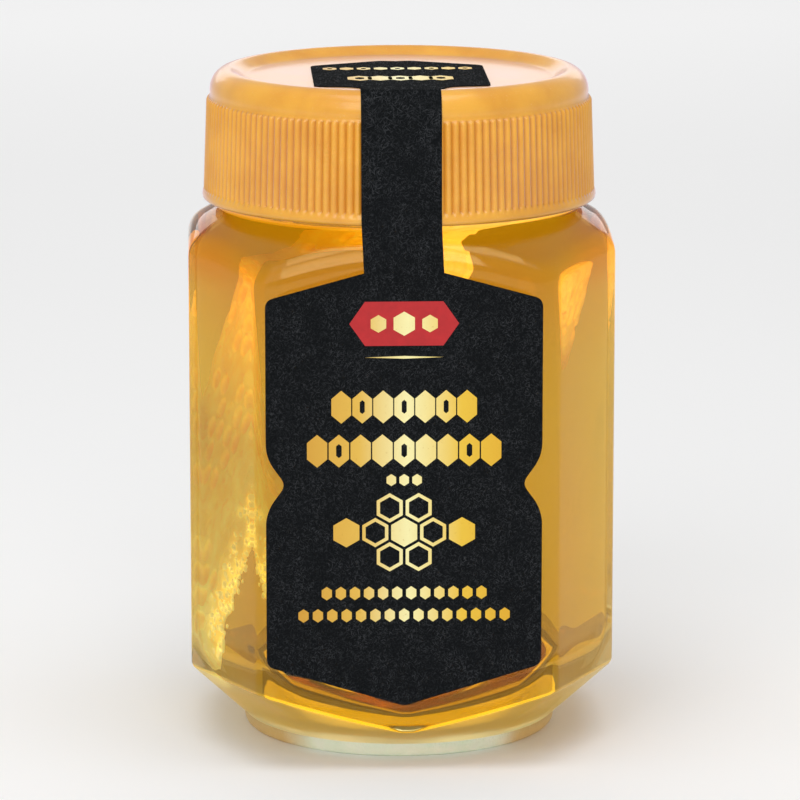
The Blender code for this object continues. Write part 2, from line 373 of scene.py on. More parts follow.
@dataclass(frozen=True)
class BaseFinish:
    """Stippled glass round the base, pale green in front and behind, with the honey's colour at the sides and
    a painted glow that lightens it in the shade by the floor.
    """

    pale: Colour = (0.90, 0.97, 0.86)
    green: Colour = (0.66, 0.82, 0.66)
    honeyed: Colour = linear("C99C3C")
    honeyed_share: float = 0.85
    honeyed_side: tuple[float, float] = (17.0 * MM, 24.0 * MM)
    unevenness: float = 3.0 * MM
    # Painted glow: emission that lightens the base where it stands in shade.
    glow: float = 0.16

    def make(self) -> bpy.types.Material:
        """Build the material.

        Returns:
            The stippled glass.
        """
        recipe = Recipe("stippled_glass")
        stipple = recipe.grain(0.5 * MM, 1.0)
        colour = recipe.blend(recipe.grain(5.0 * MM, 3.0), self.pale, self.green)
        across = recipe.axis("X").away() + recipe.grain(6.0 * MM) * self.unevenness
        colour = recipe.blend(across.between(*self.honeyed_side) * self.honeyed_share, colour, self.honeyed)
        # The emission is a painted glow in the glass's own colours.
        recipe.feed(recipe.shader, {
            "Base Color": colour, "Roughness": 0.35 + stipple * 0.2, "Transmission Weight": 0.3,
            "IOR": 1.5, "Emission Color": colour, "Emission Strength": self.glow,
        })
        recipe.bump(stipple, 0.15 * MM)
        return recipe.material


@dataclass(frozen=True)
class HoneyFinish:
    """Golden honey: a tinted clear body with a slight haze, its colour deepened towards the top as painted
    shade.
    """

    pale: Colour = (1.0, 0.98, 0.75)
    deep: Colour = (0.96, 0.60, 0.22)
    absorbed: Colour = (0.91, 0.79, 0.1)
    density: float = 60.0
    clearness: float = 0.985
    # Painted shade: the colour deepens with height towards the top.
    painted_top_shade: tuple[float, float] = (62.0 * MM, 98.0 * MM)
    painted_top_shade_share: float = 0.8

    def make(self) -> bpy.types.Material:
        """Build the material.

        Returns:
            The honey.
        """
        recipe = Recipe("golden_honey")
        recipe.feed(recipe.shader, {
            "Transmission Weight": self.clearness, "IOR": 1.49, "Roughness": 0.0,
            "Specular IOR Level": 0.0,
        })
        swirl = recipe.grain(30.0 * MM, 3.0, 0.5, stretch=(1.0, 1.0, 0.6))
        # Painted shade: deeper towards the top, added to the random swirl.
        height = recipe.axis("Z").between(*self.painted_top_shade)
        amount = swirl.between(0.35, 0.7) * 0.2 + height * self.painted_top_shade_share
        recipe.feed(recipe.shader, {"Base Color": recipe.blend(amount, self.pale, self.deep)})
        absorption = {"Color": self.absorbed, "Density": self.density}
        volume = recipe.add("ShaderNodeVolumeAbsorption", {}, absorption)
        recipe.tree.links.new(volume.outputs["Volume"], recipe.output.inputs["Volume"])
        return recipe.material


@dataclass(frozen=True)
class WaxFinish:
    """Pale beeswax with its open cells painted a deeper amber, partly for the honey in them and partly as
    painted shade, and with a painted glow that is brighter towards the jar's top.
    """

    cream: Colour = linear("FBF0CC")
    yellow: Colour = linear("F2DA92")
    brown: Colour = linear("D9B050")
    # Painted glow: emission at the foot and, stronger, at the top, standing in for light coming through the
    # wax.
    glow: float = 0.45
    top_glow: float = 1.4
    name: str = "comb_wax"
    # The open cells' colour: partly the honey in them, partly painted shade in the hollows.
    cell: Colour = linear("C8862A")
    centre: Vector | None = None
    lean: float = 0.0
    half: float = 0.0
    half_width: float = 0.0
    cell_shade_share: float = 0.3
    # Heights over which the painted glow rises from the foot's strength to the top's.
    painted_glow_rise: tuple[float, float] = (50.0 * MM, 84.0 * MM)

    def shaded_cells(self, recipe: Recipe) -> Signal:
        """Find the open cells' insides, which hold honey and are painted a deeper amber as shade.

        Args:
            recipe: The wax's material.

        Returns:
            1 inside the open cells and 0 on rims and caps.
        """
        angle = math.radians(self.lean)
        rise = (recipe.axis("Z") - self.centre.z) * math.cos(angle)
        out = rise - (recipe.axis("X") - self.centre.x) * math.sin(angle)
        across = (recipe.axis("Y") - self.centre.y).away()
        rims = out.away().between(self.half - 1.4 * MM, self.half - 0.3 * MM)
        cuts = across.between(self.half_width - 4.0 * MM, self.half_width - 1.5 * MM)
        return (1.0 - rims) * (1.0 - cuts)

    @property
    def dimming(self) -> float:
        """How much of the top's painted glow the foot lacks."""
        return 1.0 - self.glow / self.top_glow

    def make(self) -> bpy.types.Material:
        """Build the material.

        Returns:
            The wax.
        """
        recipe = Recipe(self.name)
        patches = recipe.grain(7.0 * MM, 4.0, 0.6).between(0.3, 0.7)
        stain = recipe.grain(3.0 * MM, 3.0, 0.6).between(0.55, 0.78)
        crumb = recipe.grain(0.7 * MM, 4.0, 0.65)
        # Painted glow: it rises with height towards the jar's top.
        rise = recipe.axis("Z").between(*self.painted_glow_rise)
        colour = recipe.blend(patches, self.yellow, self.cream)
        colour = recipe.blend(stain * 0.5, colour, self.brown)
        # Paint the open cells deeper: partly the honey's colour, partly painted shade.
        if self.centre is not None:
            colour = recipe.blend(self.shaded_cells(recipe) * self.cell_shade_share, colour, self.cell)
        # The emission is a painted glow, weaker towards the foot and taking the cells' deeper colour.
        recipe.feed(recipe.shader, {
            "Base Color": colour, "Roughness": 0.45 + crumb * 0.3, "Subsurface Weight": 0.25,
            "Subsurface Radius": (1.0, 0.6, 0.25), "Subsurface Scale": 1.5 * MM,
            "Emission Color": recipe.blend((1.0 - rise) * self.dimming, colour, BLACK),
            "Emission Strength": self.top_glow,
        })
        recipe.bump(crumb, 0.25 * MM)
        return recipe.material


@dataclass(frozen=True)
class LidFinish:
    """Pearly golden orange moulded plastic, with painted shade between the ribs."""

    rib_foot: tuple[float, float]
    rib_head: tuple[float, float]
    rib_height: float
    orange: Colour = linear("F0AE36")
    deep: Colour = linear("E29C2C")
    # Painted shade: the darker orange laid into the gaps between the ribs.
    gap: Colour = linear("B86A1C")
    pearl: Colour = linear("F6D3A2")
    rib_shade_share: float = 0.45
    fleck_share: float = 0.25

    def gaps(self, recipe: Recipe) -> Signal:
        """Find the gaps between the ribs, where shade is painted.

        Args:
            recipe: The lid's material.

        Returns:
            1 in the gaps and 0 elsewhere.
        """
        x, y, z = (recipe.axis(name) for name in "XYZ")
        rise = (self.rib_head[0] - self.rib_foot[0]) / (self.rib_head[1] - self.rib_foot[1])
        core = (z - self.rib_foot[1]) * rise + self.rib_foot[0]
        ribs = (((x * x + y * y) ** 0.5 - core) / self.rib_height).between(0.0, 0.75)
        above = z.between(self.rib_head[1] - 0.3 * MM, self.rib_head[1] + 0.1 * MM)
        return (1.0 - ribs) * (1.0 - above)

    def make(self) -> bpy.types.Material:
        """Build the material.

        Returns:
            The lid's plastic.
        """
        recipe = Recipe("pearl_gold_plastic")
        cloud = recipe.grain(9.0 * MM, 3.0, 0.5).between(0.3, 0.7)
        fleck = recipe.grain(0.35 * MM, 2.0, 0.6).between(0.62, 0.78)
        colour = recipe.blend(cloud, self.deep, self.orange)
        colour = recipe.blend(fleck * self.fleck_share, colour, self.pearl)
        # Painted shade in the gaps between the ribs.
        colour = recipe.blend(self.gaps(recipe) * self.rib_shade_share, colour, self.gap)
        recipe.feed(recipe.shader, {
            "Base Color": colour, "Roughness": 0.34 + cloud * 0.08, "Coat Weight": 0.55,
            "Coat Roughness": 0.14, "Sheen Weight": 0.8, "Sheen Roughness": 0.25,
            "Sheen Tint": (0.92, 0.74, 1.0), "Subsurface Weight": 0.12,
            "Subsurface Radius": (1.0, 0.5, 0.2), "Subsurface Scale": 1.0 * MM,
        })
        recipe.bump(recipe.grain(0.5 * MM, 3.0, 0.6), 0.02 * MM)
        return recipe.material


@dataclass(frozen=True)
class PaperFinish:
    """Near-black felt paper, crossed by fine grey fibres."""

    ground: Colour = linear("16181A")
    shade: Colour = linear("121415")
    fibre: Colour = linear("626468")
    fibre_length: float = 1.0 * MM
    fibre_width: float = 0.13 * MM
    fibre_turns: tuple[float, ...] = (14.0, 52.0, 97.0, 141.0)
    fibre_share: float = 0.42

    def make(self) -> bpy.types.Material:
        """Build the material.

        Returns:
            The label's paper.
        """
        recipe = Recipe("black_felt_paper")
        along, across = 1.0 / self.fibre_length, 1.0 / self.fibre_width
        fibres = None
        for number, angle in enumerate(self.fibre_turns):
            mapped = recipe.add("ShaderNodeMapping", {}, {
                "Vector": recipe.coordinates(turn=(0.0, angle, 0.0)), "Scale": (along, 0.5 * along, across),
                "Location": (number * 7.3, 0.0, 0.0),
            })
            streak = recipe.noise(Signal(recipe, mapped.outputs["Vector"]), 1.0, 1.0, 0.5).between(0.57, 0.75)
            fibres = streak if fibres is None else fibres.larger(streak)
        patch = recipe.grain(3.5 * MM, 3.0, 0.6).between(0.3, 0.75)
        shown = fibres * (0.25 + patch * 0.75)
        colour = recipe.blend(recipe.grain(6.0 * MM, 3.0), self.shade, self.ground)
        recipe.feed(recipe.shader, {
            "Base Color": recipe.blend(shown * self.fibre_share, colour, self.fibre),
            "Roughness": 0.78 - shown * 0.1, "Specular IOR Level": 0.2, "IOR": 1.06,
        })
        recipe.bump(shown * 0.6 + recipe.grain(0.4 * MM, 3.0) * 0.4, 0.08 * MM)
        return recipe.material


@dataclass(frozen=True)
class FoilFinish:
    """Gold foil with a painted highlight: pale in the middle of the label and deeper towards its sides."""

    half_width: float = 22.0 * MM
    # The ramp across the label paints a highlight: pale in the middle, deeper towards the sides.
    left: Colour = linear("CF962E")
    warm: Colour = linear("E4B84C")
    middle: Colour = linear("F8EFAE")
    bright: Colour = linear("ECC23C")
    right: Colour = linear("DDA21C")
    worn: Colour = linear("B98424")

    def make(self) -> bpy.types.Material:
        """Build the material.

        Returns:
            The foil.
        """
        recipe = Recipe("gold_foil")
        # Painted highlight across the label, pale in the middle.
        across = recipe.axis("X") / (2.0 * self.half_width) + 0.5
        stops = [(0.0, self.left), (1.0, self.right)]
        stops += [(0.3, self.warm), (0.5, self.middle), (0.72, self.bright)]
        worn = recipe.grain(0.6 * MM, 3.0).between(0.6, 0.8)
        recipe.feed(recipe.shader, {
            "Base Color": recipe.blend(worn * 0.3, recipe.ramp(across, stops), self.worn),
            "Metallic": 0.35 + worn * 0.05, "Roughness": 0.38 + worn * 0.2,
        })
        recipe.bump(recipe.grain(0.25 * MM, 2.0), 0.01 * MM)
        return recipe.material


@dataclass(frozen=True)
class RedFinish:
    """Red print on the label's plaque."""

    red: Colour = linear("C4161C")
    shade: Colour = linear("A80F16")

    def make(self) -> bpy.types.Material:
        """Build the material.

        Returns:
            The red ink.
        """
        recipe = Recipe("red_ink")
        mottle = recipe.grain(1.2 * MM, 3.0)
        recipe.feed(recipe.shader, {
            "Base Color": recipe.blend(mottle, self.red, self.shade),
            "Roughness": 0.42 + mottle * 0.1,
        })
        recipe.bump(recipe.grain(0.3 * MM, 2.0), 0.01 * MM)
        return recipe.material


def deselect() -> None:
    """Leave object mode with nothing selected."""
    if bpy.context.object and bpy.context.object.mode != "OBJECT":
        bpy.ops.object.mode_set(mode="OBJECT")
    bpy.ops.object.select_all(action="DESELECT")


def activate(obj: bpy.types.Object) -> None:
    """Select one object alone.

    Args:
        obj: The object.
    """
    deselect()
    obj.select_set(True)
    bpy.context.view_layer.objects.active = obj


def rename(obj: bpy.types.Object, name: str) -> bpy.types.Object:
    """Name an object and its mesh.

    Args:
        obj: The object.
        name: The name for both.

    Returns:
        The same object.
    """
    obj.name = name
    obj.data.name = name
    return obj


def modify(obj: bpy.types.Object, kind: str, **settings: object) -> None:
    """Add a modifier and apply it at once.

    Args:
        obj: The object.
        kind: The modifier's type.
        settings: The modifier's settings.
    """
    activate(obj)
    modifier = obj.modifiers.new(kind.title(), kind)
    for name, value in settings.items():
        setattr(modifier, name, value)
    bpy.ops.object.modifier_apply(modifier=modifier.name)


def trim(obj: bpy.types.Object, limit: bpy.types.Object) -> None:
    """Keep what lies in a limit, trying again when the solver loses most of the object.

    Args:
        obj: The object that is trimmed; it stays whole if every try fails.
        limit: What it is trimmed to, which is removed.
    """
    spare = obj.data.copy()
    for _ in range(TRIM_TRIES):
        modify(obj, "BOOLEAN", operation="INTERSECT", object=limit, solver="EXACT")
        if len(obj.data.polygons) > len(spare.polygons) // 3:
            break
        LOG.warning("%s: %d faces left, tried again", obj.name, len(obj.data.polygons))
        obj.data = spare.copy()
    bpy.data.objects.remove(limit, do_unlink=True)


def smooth(obj: bpy.types.Object, angle: float = 40.0) -> None:
    """Shade smooth, keeping edges sharper than the angle.

    Args:
        obj: The object.
        angle: The angle in degrees.
    """
    activate(obj)
    bpy.ops.object.shade_smooth_by_angle(angle=math.radians(angle))


def settle(obj: bpy.types.Object) -> None:
    """Move an object's place into its mesh.

    Args:
        obj: The object.
    """
    activate(obj)
    bpy.ops.object.transform_apply(location=True, rotation=True, scale=True)


def join(parts: Sequence[bpy.types.Object], name: str) -> bpy.types.Object:
    """Join objects into one.

    Args:
        parts: The objects, at least one.
        name: The joined object's name.

    Returns:
        The joined object.
    """
    deselect()
    for part in parts:
        part.select_set(True)
    bpy.context.view_layer.objects.active = parts[0]
    if len(parts) > 1:
        bpy.ops.object.join()
    return rename(parts[0], name)


def disc(name: str, corners: int) -> bpy.types.Object:
    """Add a filled polygon, whose corners are then laid where they belong.

    Args:
        name: Its name.
        corners: Number of its corners.

    Returns:
        The polygon.
    """
    deselect()
    bpy.ops.mesh.primitive_circle_add(vertices=corners, fill_type="NGON")
    return rename(bpy.context.object, name)


def face_outwards(obj: bpy.types.Object) -> None:
    """Turn all faces the same way round, outwards on a closed body.

    Args:
        obj: The object.
    """
    activate(obj)
    bpy.ops.object.mode_set(mode="EDIT")
    bpy.ops.mesh.select_all(action="SELECT")
    bpy.ops.mesh.normals_make_consistent(inside=False)
    bpy.ops.object.mode_set(mode="OBJECT")


def loft(name: str, rings: Sequence[Ring]) -> bpy.types.Object:
    """Grow a closed body: a filled circle is laid on the first ring and extruded to each next one.

    Args:
        name: The body's name.
        rings: Rings of equal counts, in order.

    Returns:
        The body.
    """
    obj = disc(name, len(rings[0]))
    bpy.ops.object.mode_set(mode="EDIT")
    mesh = bmesh.from_edit_mesh(obj.data)
    order = mesh.verts.layers.int.new("order")
    for number, vert in enumerate(mesh.verts):
        vert[order] = number
        vert.co = rings[0][number]
    bmesh.update_edit_mesh(obj.data)
    for ring in rings[1:]:
        bpy.ops.mesh.extrude_region_move()
        mesh = bmesh.from_edit_mesh(obj.data)
        order = mesh.verts.layers.int["order"]
        for vert in mesh.verts:
            if vert.select:
                vert.co = ring[vert[order]]
        bmesh.update_edit_mesh(obj.data)
    face_outwards(obj)
    obj.data.attributes.remove(obj.data.attributes["order"])
    return obj


def curve_rings(starts: Ring, corners: Ring, ends: Ring, steps: int) -> list[Ring]:
    """Rings along quadratic curves, each pulled towards its corner.

    Args:
        starts: Where the curves start.
        corners: What pulls them.
        ends: Where they end.
        steps: Number of stretches.

    Returns:
        One ring more than there are stretches.
    """
    rings = []
    for step in range(steps + 1):
        t = step / steps
        rings.append([
            (1 - t) ** 2 * a + 2 * t * (1 - t) * b + t ** 2 * c
            for a, b, c in zip(starts, corners, ends)
        ])
    return rings


def polyplate(name: str, outline: Sequence[tuple[float, float]], thickness: float) -> bpy.types.Object:
    """A thin flat plate in the XZ plane with its face towards -Y.

    Args:
        name: The plate's name.
        outline: X and Z of its corners, anticlockwise seen from -Y.
        thickness: How far it stands towards -Y.

    Returns:
        The plate, its back on Y = 0.
    """
    obj = disc(name, len(outline))
    for vert, (x, z) in zip(obj.data.vertices, outline):
        vert.co = (x, 0.0, z)
    bpy.ops.object.mode_set(mode="EDIT")
    bpy.ops.mesh.select_all(action="SELECT")
    bpy.ops.mesh.extrude_region_move(TRANSFORM_OT_translate={"value": (0.0, -thickness, 0.0)})
    face_outwards(obj)
    return obj


@dataclass
class JarShape:
    """The jar's form: an octagonal body with wide front and back panels, a cone above and below."""

    low: Vector
    high: Vector
    front_flat: float = field(init=False)
    side_flat: float = field(init=False)
    rim_top: float = field(init=False)
    diagonal_flat: float = 41.25 * MM
    diagonal_turn: float = 62.0
    edge_rounding: float = 3.0 * MM
    wall: float = 2.7 * MM
    inner_rounding: float = 6.5 * MM
    base_radius: float = 28.6 * MM
    punt_radius: float = 22.0 * MM
    punt_height: float = 1.2 * MM
    corner_foot: float = 14.2 * MM
    panel_foot: float = 6.9 * MM
    heel_top: float = 2.7 * MM
    floor: float = 5.4 * MM
    floor_radius: float = 26.0 * MM
    foot_rise: float = 3.4 * MM
    shoulder_slope: float = 0.57
    neck_radius: float = 33.4 * MM
    neck_foot: float = 98.3 * MM
    finish_radius: float = 32.4 * MM
    bore_radius: float = 29.6 * MM
    fineness: int = 6

    def __post_init__(self) -> None:
        """Read the main sizes from the frame's box."""
        self.front_flat = self.high.y
        self.side_flat = self.high.x
        self.rim_top = self.high.z

    def octagon(self, inset: float, rounding: float) -> list[Vector]:
        """Points round the body's section.

        Args:
            inset: How far the facets are drawn in.
            rounding: Radius at the corners.

        Returns:
            Plane points, anticlockwise.
        """
        kinds = (
            (0.0, self.front_flat, 24),
            (self.diagonal_turn, self.diagonal_flat, 12),
            (90.0, self.side_flat, 12),
            (180.0 - self.diagonal_turn, self.diagonal_flat, 12),
        )
        facets = [(math.radians(turn - 90.0), distance - inset, spare) for turn, distance, spare in kinds]
        facets += [(angle + math.pi, distance, spare) for angle, distance, spare in facets]
        arcs = []
        for index, (angle, distance, _) in enumerate(facets):
            next_angle, next_distance, _ = facets[(index + 1) % len(facets)]
            turn = (next_angle - angle) % (2.0 * math.pi)
            normals = Matrix([(math.cos(a), math.sin(a)) for a in (angle, next_angle)])
            centre = normals.inverted() @ Vector((distance - rounding, next_distance - rounding))
            steps = 2 * self.fineness if turn > math.radians(40.0) else self.fineness
            angles = [angle + turn * step / steps for step in range(steps + 1)]
            arcs.append([centre + rounding * Vector((math.cos(a), math.sin(a))) for a in angles])
        points = []
        for index, arc in enumerate(arcs):
            points += arc
            start, end = arc[-1], arcs[(index + 1) % len(arcs)][0]
            spare = facets[(index + 1) % len(facets)][2]
            points += [start.lerp(end, step / (spare + 1)) for step in range(1, spare + 1)]
        return points

    def circle(self, section: Iterable[Vector], radius: float, height: float) -> Ring:
        """A level circle whose points lie in the section points' directions.

        Args:
            section: Plane points.
            radius: The circle's radius.
            height: Its height.

        Returns:
            The ring.
        """
        return [Vector((*(point.normalized() * radius), height)) for point in section]

    def arc_rings(self, section: list[Vector], stations: Sequence[tuple[float, float]],
                  steps: int) -> list[Ring]:
        """Circles along a quadratic curve through a start, a corner and an end.

        Args:
            section: Plane points.
            stations: Radius and height of start, corner and end.
            steps: Number of stretches.

        Returns:
            The rings.
        """
        ends = [self.circle(section, radius, height) for radius, height in stations]
        return curve_rings(*ends, steps)

    def panel_foot_height(self, point: Vector) -> float:
        """Height of the body's lower edge, a shallow V under the front and back panels.

        Args:
            point: A section point.

        Returns:
            The height.
        """
        across = abs(point.x)
        return min(self.corner_foot, self.panel_foot + 0.22 * across + 1.97 * across ** 2)

    def shoulder(self, radius: float) -> float:
        """Height of the shoulder's cone at a radius."""
        return self.neck_foot - self.shoulder_slope * (radius - self.neck_radius)

    def outside(self) -> list[Ring]:
        """Rings of the glass from the punt up to the lip.

        Returns:
            The rings.
        """
        section = self.octagon(0.0, self.edge_rounding)
        feet = [Vector((*point, self.panel_foot_height(point))) for point in section]
        tops = [Vector((*point, self.shoulder(point.length))) for point in section]
        heel = self.base_radius + 0.5 * MM
        base = self.circle(section, heel, self.heel_top)
        slope = [[low.lerp(foot, 0.94 * step / 6) for foot, low in zip(feet, base)] for step in range(1, 6)]
        slope_ends = [foot.lerp(low, 0.06) for foot, low in zip(feet, base)]
        wall_feet = [foot + UP * 0.9 * MM for foot in feet]
        wall_tops = [top - UP * 3.0 * MM for top in tops]
        cone_feet = []
        for point in section:
            inner = point.normalized() * (point.length - 3.0 * MM)
            cone_feet.append(Vector((*inner, self.shoulder(inner.length))))
        neck, foot, top = self.neck_radius, self.neck_foot, self.rim_top
        rings = [self.circle(section, self.punt_radius * share, self.punt_height) for share in (0.35, 0.7)]
        rings += self.arc_rings(section, (
            (self.punt_radius, self.punt_height), (self.base_radius - 4.6 * MM, self.punt_height),
            (self.base_radius - 2.9 * MM, 0.0)), 4)
        rings += self.arc_rings(section, (
            (self.base_radius - 1.6 * MM, 0.0), (heel - 0.2 * MM, 0.0), (heel - 0.1 * MM, 1.5 * MM)), 6)
        rings.append(base)
        rings += slope
        rings += curve_rings(slope_ends, feet, wall_feet, 8)
        rings.append([foot + UP * 5.5 * MM for foot in feet])
        rings += curve_rings(wall_tops, tops, cone_feet, 10)
        rings += self.arc_rings(section, (
            (neck + 0.5 * MM, foot - 0.2 * MM), (neck, foot + 0.1 * MM), (neck, foot + 0.6 * MM)), 4)
        rings += self.arc_rings(section, (
            (neck, foot + 0.9 * MM), (neck, foot + 1.6 * MM), (self.finish_radius, foot + 1.8 * MM)), 3)
        rings += self.arc_rings(section, (
            (self.finish_radius, top - 0.7 * MM), (self.finish_radius, top),
            (self.finish_radius - 0.7 * MM, top)), 4)
        return rings

    def inside(self, gap: float, finer: bool = True) -> list[Ring]:
        """Rings of the inside from the floor up to the bore.

        Args:
            gap: How far they are drawn in from the glass; below nought they reach into it.
            finer: Whether curves get all their steps.

        Returns:
            The rings.
        """
        section = self.octagon(self.wall + gap, self.inner_rounding)
        floor = self.floor + gap
        steps = 10 if finer else 3

        def roof(radius: float) -> float:
            """Height of the inner shoulder at a radius."""
            return self.shoulder(radius + self.wall) - 0.4 * MM - gap

        def drawn_in(distance: float, height: Callable[[float], float]) -> Ring:
            """The section moved towards the axis, at heights that depend on its radius."""
            moved = [point.normalized() * (point.length - distance) for point in section]
            return [Vector((*point, height(point.length))) for point in moved]

        tops = drawn_in(0.0, roof)
        edge = self.circle(section, self.floor_radius - gap, floor)
        feet = [Vector((*point, self.panel_foot_height(point) + self.foot_rise + gap)) for point in section]
        rings = [self.circle(section, share * self.floor_radius, floor) for share in (0.25, 0.55)]
        rings += curve_rings(
            self.circle(section, self.floor_radius - 4.0 * MM, floor), edge,
            [low.lerp(foot, 0.3) for low, foot in zip(edge, feet)], steps)
        rings += curve_rings(
            [foot.lerp(low, 0.35) for low, foot in zip(edge, feet)], feet,
            [foot + UP * 4.5 * MM for foot in feet], steps)
        rings += curve_rings([top - UP * 3.0 * MM for top in tops], tops, drawn_in(3.0 * MM, roof), steps)
        bore_foot = self.shoulder(self.bore_radius + self.wall) + 1.1 * MM - gap
        bore = self.bore_radius - gap
        rings += self.arc_rings(section, (
            (bore + 1.0 * MM, bore_foot - 1.3 * MM), (bore, bore_foot - 0.6 * MM),
            (bore, bore_foot + 1.0 * MM)), 4)
        return rings

    def lip(self) -> list[Ring]:
        """Rings over the lip and down to the bore.

        Returns:
            The rings.
        """
        section = self.octagon(self.wall, self.inner_rounding)
        return self.arc_rings(section, (
            (self.bore_radius + 0.7 * MM, self.rim_top), (self.bore_radius, self.rim_top),
            (self.bore_radius, self.rim_top - 0.7 * MM)), 4)


@dataclass
class Filling:
    """The glass and the honey in it."""

    shape: JarShape
    honey_level: float
    reach: float = 0.12 * MM

    def glass(self) -> bpy.types.Object:
        """Build the jar.

        Returns:
            The glass, open at its top.
        """
        rings = self.shape.outside() + self.shape.lip() + self.shape.inside(0.0)[::-1]
        jar = loft("glass_jar", rings)
        smooth(jar, 50.0)
        golden, amber = (1.0, 0.94, 0.55), (1.0, 0.92, 0.48)
        # The wall glass gets painted shade at its upper corners; the base, slope and edge glass carry a
        # painted glow, and on the edge glass this glow is a painted highlight along the panels' lower edge.
        for finish in (
            GlassFinish("wall_glass", 1.2, 0.0, golden, amber, corner=(1.0, 0.74, 0.2)),
            GlassFinish("thick_glass", 1.5, 0.3),
            BaseFinish(),
            GlassFinish("slope_glass", 1.2, 0.0, golden, amber, 0.28, (0.10, 0.07, 0.012)),
            GlassFinish("edge_glass", 1.2, 0.0, golden, amber, 0.1, (0.16, 0.11, 0.01)),
            GlassFinish("foot_glass", 1.2, 0.0, (0.50, 0.40, 0.22), (0.44, 0.35, 0.18), 0.16),
        ):
            jar.data.materials.append(finish.make())
        for face in jar.data.polygons:
            face.material_index = self.kind(face).value
        return jar

    def kind(self, face: bpy.types.MeshPolygon) -> Glass:
        """Choose the glass for one face.

        Args:
            face: A face of the jar.

        Returns:
            Its kind.
        """
        if face.center.z < self.shape.heel_top:
            outer = face.center.xy.length > self.shape.base_radius - 1.0 * MM
            return Glass.STIPPLED if outer else Glass.THICK
        if face.center.z > self.shape.neck_foot:
            return Glass.THICK
        outward = face.normal.xy.dot(face.center.xy) > 0.0
        if not outward or face.center.z >= self.shape.corner_foot + 6.0 * MM:
            return Glass.WALL
        if face.normal.z < -0.62:
            return Glass.SLOPE
        if face.normal.z < -0.22:
            return Glass.EDGE
        return Glass.FOOT if abs(face.normal.y) > 0.9 else Glass.WALL

    def honey(self) -> bpy.types.Object:
        """Build the honey, which reaches just into the wall.

        Returns:
            The honey.
        """
        section = self.shape.octagon(self.shape.wall - self.reach, self.shape.inner_rounding)
        bore = self.shape.bore_radius + self.reach
        rings = self.shape.inside(-self.reach)
        rings += self.shape.arc_rings(section, (
            (bore, self.honey_level - 0.4 * MM), (bore - 0.2 * MM, self.honey_level - 1.0 * MM),
            (bore - 3.0 * MM, self.honey_level - 1.1 * MM)), 4)
        honey = loft("honey_body", rings)
        smooth(honey, 60.0)
        honey.data.materials.append(HoneyFinish().make())
        return honey


